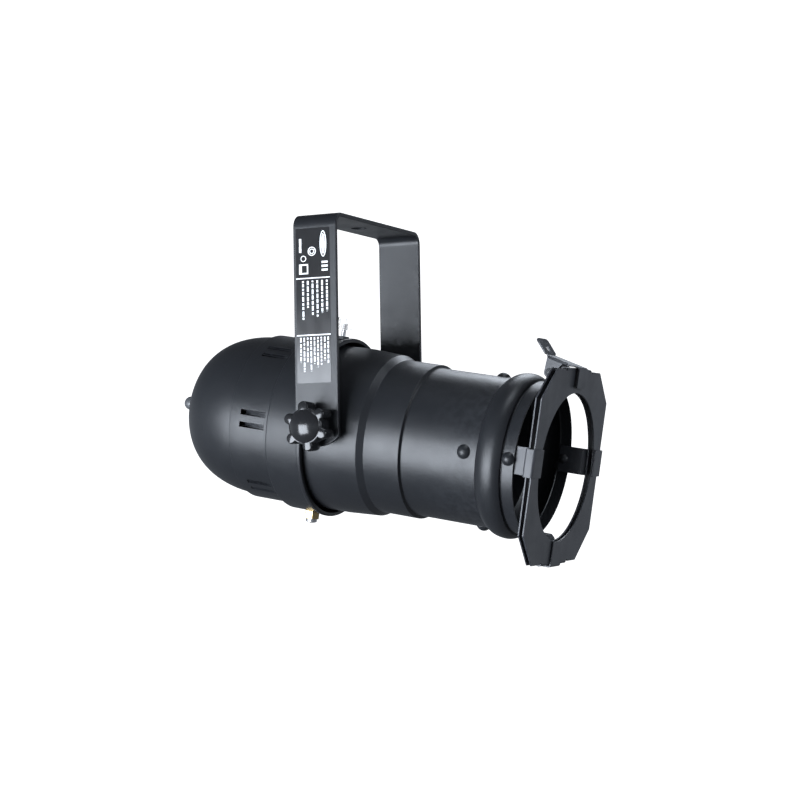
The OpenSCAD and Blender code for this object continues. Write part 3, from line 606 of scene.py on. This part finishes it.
# ------------------------------------------------------------------ rear housing
def dome():
    """Blunt dome with a hole for the stud, and a skirt that goes into the band."""
    steps = 44
    line = []
    for i in range(steps + 1):
        s = math.sin(QUARTER * i / steps)
        line.append((DOME_R * s, DOME_START - DOME_DEPTH * math.sqrt(max(0.0, 1 - s ** 3.2))))
    line[0] = (3.2, line[0][1])
    line += fillet([(DOME_R, -69.5), (54.9, -69.1), (54.9, -62.7)], [0, 0.3, 0], 3)
    place(lathe("dome_fine", shell(line), ROUND), "rear_dome")


def tongue(at, start, length):
    """Strip of the band that is pushed in behind a slot, and leans further in towards its end."""
    rows = 10
    verts, faces = [], []
    for k in range(rows + 1):
        t = k / rows
        r = 55.6 - 4.6 * t ** 1.35
        verts += [(r + dr, s, start - length * t) for dr in (0, -0.7) for s in (-1.6, 1.6)]
    for k in range(rows):
        p, q = k * 4, k * 4 + 4
        faces += [(p, q, q + 1, p + 1), (p + 2, p + 3, q + 3, q + 2),
                  (p, p + 2, q + 2, q), (p + 1, q + 1, q + 3, p + 3)]
    faces += [(0, 1, 3, 2), (4 * rows, 4 * rows + 2, 4 * rows + 3, 4 * rows + 1)]
    return make("tongue", verts, faces, at)


def vent_housing():
    """Turned band with lanced slots: a grid of cells with the slot cells left open."""
    outer = fillet([(55.1, DOME_START), (VENT_R, DOME_START), (VENT_R, -40.9), (58.8, -39.9),
                    (58.8, -16.4), (60.4, -16.2), (60.4, -13.2), (58.0, -13.2)],
                   [0, 0.55, 0.8, 1.1, 0.5, 0.9, 1.0, 0], 5)
    inner = [(57.8, -14.0), (57.8, -38.6), (55.05, -39.4), (55.0, -69.3)]
    z_lo, z_hi = -62.0, -43.0
    line = []
    for r, z in outer:
        if line and line[-1][1] < z_lo < z:
            line.append((VENT_R, z_lo))
        if line and line[-1][1] < z_hi < z:
            line.append((VENT_R, z_hi))
        line.append((r, z))
    back = []
    for r, z in inner:
        if back and back[-1][1] > z_hi > z:
            back.append((55.04, z_hi))
        if back and back[-1][1] > z_lo > z:
            back.append((55.02, z_lo))
        back.append((r, z))
    profile = line + back
    half = math.degrees(1.8 / VENT_R)
    slots = [g + 1 + s * 4.15 for g in (0, 54, 126, 180, 234, 306) for s in (-1, 1)]
    edges = sorted({round(a % 360, 5) for c in slots for a in (c - half, c + half)})
    angles = []
    for i, a in enumerate(edges):
        b = edges[(i + 1) % len(edges)] + (360 if i == len(edges) - 1 else 0)
        n = max(1, round((b - a) / 1.8))
        angles += [a + (b - a) * k / n for k in range(n)]
    n, m = len(profile), len(angles)
    open_rows = [k for k in range(n) if {profile[k][1], profile[(k + 1) % n][1]} == {z_lo, z_hi}]

    def in_slot(a):
        return any(abs((a - c + 180) % 360 - 180) < half - 1e-3 for c in slots)
    verts = []
    for a in map(math.radians, angles):
        verts += [(r * math.cos(a), r * math.sin(a), z) for r, z in profile]
    faces = []
    for i in range(m):
        j = (i + 1) % m
        mid = angles[i] + ((angles[j] - angles[i]) % 360) / 2
        cut = in_slot(mid)
        for k in range(n):
            if cut and k in open_rows:
                continue
            after = (k + 1) % n
            faces.append((i * n + k, j * n + k, j * n + after, i * n + after))
        if cut:
            # Walls of the slot, through the sheet.
            o, q = open_rows
            for p in (o, o + 1):
                other = q + 1 if p == o else q
                faces.append((i * n + p, j * n + p, j * n + other % n, i * n + other % n))
            for e in (i, j):
                faces.append((e * n + o, e * n + o + 1, e * n + q, e * n + (q + 1) % n))
    body = make("vent_body", verts, faces, CAN, 40)
    tongues = []
    for c in slots:
        at = CAN @ Matrix.Rotation(math.radians(c), 4, "Z")
        tongues.append(tongue(at, z_hi + 0.2, z_hi - z_lo - 1.0))
    place(join("vent_housing_fine", [body, *tongues], 40), "vent_housing")


def cap_nut():
    """Hexagon nut with a round cap, on the end of the rear stud."""
    z = DOME_START - DOME_DEPTH - 6.45
    flats, height = 10, 4.6
    at = CAN @ Matrix.Translation((0, 0, (z - height / 2) * MM))
    hexagon = prism("hex", circle(flats / math.cos(math.pi / 6) / 2, 6), height, at)
    bevel(hexagon, 0.5, 3, 30)
    hexagon = link("hexagon", settle(hexagon))
    cap_r = 4.75
    turn = [QUARTER * k / 12 for k in range(12)]
    arc = [(cap_r * math.cos(a), z - 7.6 - cap_r * math.sin(a)) for a in turn]
    foot = [(3.4, z - 4.4), (4.4, z - 4.4), (cap_r, z - 5.0)]
    ball = lathe("ball", foot + arc + [(0.05, z - 12.35), (0.05, z - 4.4)], 48)
    place(join("cap_nut_fine", [hexagon, ball], 40), "rear_cap_nut")


# ------------------------------------------------------------------ knobs
def lobe(theta, grow=0.0):
    """Radius of the six-lobed outline at an angle, with soft valleys."""
    lobe_r, lobe_at, core = 3.6 + grow, 12.6, 12.0 + grow
    phi = (theta + math.pi / 6) % (math.pi / 3) - math.pi / 6
    square = lobe_r * lobe_r - (lobe_at * math.sin(phi)) ** 2
    tip = lobe_at * math.cos(phi) + math.sqrt(square) if square > 0 else 0
    hardness = 1.3
    most = max(tip, core)
    blend = math.exp((tip - most) * hardness) + math.exp((core - most) * hardness)
    return most + math.log(blend) / hardness - 0.12


def knob(node, hand):
    """Star knob: a lobed body between its height and growth rows, a low crown and a round foot."""
    n = 216
    rows = [(3.0, -3.2), (3.4, -1.2), (4.4, -0.5), (9.0, -0.15),
            (13.6, 0.0), (15.4, -0.12), (16.15, -0.4), (16.45, -0.85)]
    base = on_tilt(hand) @ Matrix.Translation((0, 0, ARM_OUT * MM))
    phase = math.radians(-hand * 37)
    verts, faces = [], []
    for height, grow in rows:
        for i in range(n):
            theta = 2 * math.pi * i / n
            r = lobe(theta, grow)
            angle = phase + theta - QUARTER
            verts.append((r * math.cos(angle), r * math.sin(angle), height))
    for k in range(len(rows) - 1):
        for i in range(n):
            j = (i + 1) % n
            faces.append((k * n + i, k * n + j, k * n + n + j, k * n + n + i))
    faces.append(tuple(reversed(range(n))))
    last = (len(rows) - 1) * n
    faces.append(tuple(last + i for i in range(n)))
    body = make("body", verts, faces, base, 50)
    crown_r, crown_rise, crown_at = 10.6, 4.2, 16.5
    ball = (crown_r * crown_r + crown_rise * crown_rise) / (2 * crown_rise)
    centre = crown_at + crown_rise - ball
    turn = [math.asin(crown_r / ball) * k / 20 for k in range(21)]
    arc = [(max(0.02, ball * math.sin(a)), centre + ball * math.cos(a)) for a in turn]
    crown = lathe("crown", arc + [(10.62, 16.3), (10.3, 15.2), (0.02, 15.2)], 96, base, 50)
    foot = lathe("foot", fillet([(3.1, 1.3), (8.8, 1.3), (8.8, 3.6), (3.1, 3.6)], 0.4, 3, True), 72, base)
    place(join(node + "_fine", [body, crown, foot], 50), node)


# ------------------------------------------------------------------ label
def label():
    """A generic rating label: rules, bars and broken lines that say nothing."""
    film_gauge = 0.2
    x = -ARM_OUT - film_gauge
    random.seed(7)
    quads = []

    def bar(y0, y1, z0, z1):
        quads.append((y0, y1, z0, z1))
    y_lo, y_hi, z_lo, z_hi = -11.0, 13.5, 28.0, 127.5
    for z in (95.3, 58.7):
        bar(y_lo, y_hi, z - 0.35, z + 0.35)

    def lines(y_from, y_to, count, z_top, z_end, thick):
        for k in range(count):
            y = y_from + (y_to - y_from) * k / max(1, count - 1)
            z = z_top
            stop = z_top - (z_top - z_end) * random.uniform(0.6, 1.0)
            while z > stop:
                step = random.uniform(0.9, 3.4)
                bar(y - thick / 2, y + thick / 2, max(stop, z - step), z)
                z -= step + random.uniform(0.45, 0.9) / 0.78
    lines(-8.8, 8.5, 6, 93.6, 66.0, 1.25)
    lines(-9.2, 10.6, 9, 57.2, 33.0, 0.95)
    # Blank blocks in place of marks.
    bar(9.2, 11.2, 98.0, 104.5)
    bar(4.6, 9.2, 98.0, 98.9)
    bar(4.6, 9.2, 103.6, 104.5)
    bar(4.6, 5.5, 98.9, 103.6)
    for z0 in (99.5, 102.0, 104.5):
        bar(-9.6, -5.2, z0, z0 + 1.3)
    bar(9.4, 11.0, 112.0, 121.0)
    verts, faces = [], []
    for y0, y1, z0, z1 in quads:
        b = len(verts)
        for dx in (0.0, -0.03):
            verts += [(x + dx, y0, z0), (x + dx, y1, z0), (x + dx, y1, z1), (x + dx, y0, z1)]
        faces += [(b + 4, b + 5, b + 6, b + 7), (b, b + 1, b + 5, b + 4), (b + 1, b + 2, b + 6, b + 5),
                  (b + 2, b + 3, b + 7, b + 6), (b + 3, b, b + 4, b + 7)]

    def ring(cy, cz, ry, rz, w):
        b = len(verts)
        n = 40
        for i in range(n):
            a = 2 * math.pi * i / n
            for f in (0, w):
                verts.append((x - 0.03, cy + (ry - f) * math.cos(a), cz + (rz - f) * math.sin(a)))
        for i in range(n):
            j = (i + 1) % n
            faces.append((b + 2 * i, b + 2 * j, b + 2 * j + 1, b + 2 * i + 1))
    ring(-6.4, 117.0, 2.4, 8.4, 0.7)
    ring(-6.4, 117.0, 1.2, 6.6, 1.1)
    ring(1.8, 112.5, 2.9, 2.9, 0.55)
    ring(1.8, 112.5, 1.7, 1.7, 0.5)
    ring(8.0, 108.0, 2.0, 2.0, 0.5)
    ink = make("label_print", verts, faces, PIVOT)
    ink.data.materials.append(PRINT)
    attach(ink, "yoke")
    outline = fillet([(-y_hi, z_lo), (-y_lo, z_lo), (-y_lo, z_hi), (-y_hi, z_hi)], 0.8, 4, True)
    at = (PIVOT @ Matrix.Translation((-(ARM_OUT + film_gauge / 2) * MM, 0, 0))
          @ Matrix.Rotation(-QUARTER, 4, "Z") @ Matrix.Rotation(QUARTER, 4, "X"))
    place(prism("label_film", outline, film_gauge, at), "rating_label")


# ------------------------------------------------------------------ build
barrel()
nosing()
rivets()
holder("side_clip_right", 0, 61.5, 46.9)
holder("side_clip_left", 180, 61.5, 46.9)
holder("bottom_clip", -90, 66.35, 49.7)
colour_frame()
latch()
dome()
vent_housing()
cap_nut()
knob("knob_left", -1)
knob("knob_right", 1)
label()
softened("yoke_bracket", 0.45, 3, 30)
for node in ("rear_lock_nut", "rear_washer", "thumb_boss", "earth_nut", "earth_screw",
             "holder_bracket", "knob_washer_left", "knob_washer_right", "pivot_washer_left",
             "pivot_washer_right", "cable_grommet"):
    softened(node, 0.18, 2, 35)
softened("thumb_head", 0.35, 2, 40)

# The CAD nodes that stay get their slot's material.
for name, ob in frame["nodes"].items():
    if not ob.hide_render:
        mat = SLOT_MATERIAL[NODE_SLOT[name]]
        for s in ob.material_slots:
            s.material = mat


# ------------------------------------------------------------------ stage
def white_sheet(name, verts, faces):
    """Pale paper that shows white and leaves the object's reflections to the lamps."""
    me = bpy.data.meshes.new(name)
    me.from_pydata(verts, [], faces)
    ob = link(name, me)
    material, _, shader = new_material(name)
    shader.inputs["Base Color"].default_value = (0.9, 0.9, 0.9, 1)
    shader.inputs["Roughness"].default_value = 0.9
    shader.inputs["Emission Color"].default_value = (1, 1, 1, 1)
    shader.inputs["Emission Strength"].default_value = 1.1
    me.materials.append(material)
    ob.visible_glossy = False
    ob.visible_diffuse = False
    ob.visible_shadow = False


FLOOR_Z, HALL = -0.9, 12.0
corners = [(-HALL, -HALL), (HALL, -HALL), (HALL, HALL), (-HALL, HALL)]
white_sheet("floor", [(x, y, FLOOR_Z) for x, y in corners], [(0, 1, 2, 3)])
white_sheet("backdrop", [(x, y, z) for z in (FLOOR_Z, HALL) for x, y in corners],
            [(0, 1, 5, 4), (1, 2, 6, 5), (2, 3, 7, 6), (3, 0, 4, 7), (4, 5, 6, 7)])

# Soft fill: brightest round the horizon, dim overhead and underneath.
world = bpy.data.worlds.new("studio")
bpy.context.scene.world = world
world.use_nodes = True
wt = world.node_tree
way = wt.nodes.new("ShaderNodeTexCoord")
split = wt.nodes.new("ShaderNodeSeparateXYZ")
height = wt.nodes.new("ShaderNodeMapRange")
level = wt.nodes.new("ShaderNodeValToRGB")
wt.links.new(way.outputs["Generated"], split.inputs["Vector"])
wt.links.new(split.outputs["Z"], height.inputs["Value"])
height.inputs["From Min"].default_value = -1
wt.links.new(height.outputs["Result"], level.inputs["Fac"])
stops = level.color_ramp.elements
stops[0].position, stops[0].color = 0.0, (0.1, 0.1, 0.105, 1)
stops[1].position, stops[1].color = 1.0, (0.06, 0.06, 0.065, 1)
for at, v in ((0.3, 0.16), (0.46, 0.42), (0.53, 0.42), (0.62, 0.2), (0.75, 0.09)):
    stops.new(at).color = (*(v * c for c in COOL), 1)
wt.links.new(level.outputs["Color"], wt.nodes["Background"].inputs["Color"])
wt.nodes["Background"].inputs["Strength"].default_value = 1.0


def soft_box(name, at, aim, size, power):
    """Rectangular lamp that looks at a point and isn't seen itself."""
    d = bpy.data.lights.new(name, "AREA")
    d.shape = "RECTANGLE"
    d.size, d.size_y = size
    d.energy = power
    d.color = COOL
    ob = link(name, d)
    ob.location = at
    ob.rotation_mode = "QUATERNION"
    ob.rotation_quaternion = (Vector(at) - Vector(aim)).to_track_quat("Z", "Y")
    ob.visible_camera = False


soft_box("key", (-1.02, 0.38, -0.375), (0, 0, -0.13), (0.86, 0.74), 30)
soft_box("top", (-0.2, -0.5, 1.3), (0, -0.05, -0.15), (0.9, 0.6), 6)
soft_box("far_side", (1.2, 0.1, 0.9), (0, 0, -0.15), (0.7, 0.7), 8)
soft_box("front", (0.1, -1.4, 0.1), (0, -0.1, -0.15), (0.5, 0.5), 7)

scene = bpy.context.scene
scene.view_settings.view_transform = "Standard"
scene.view_settings.look = "None"
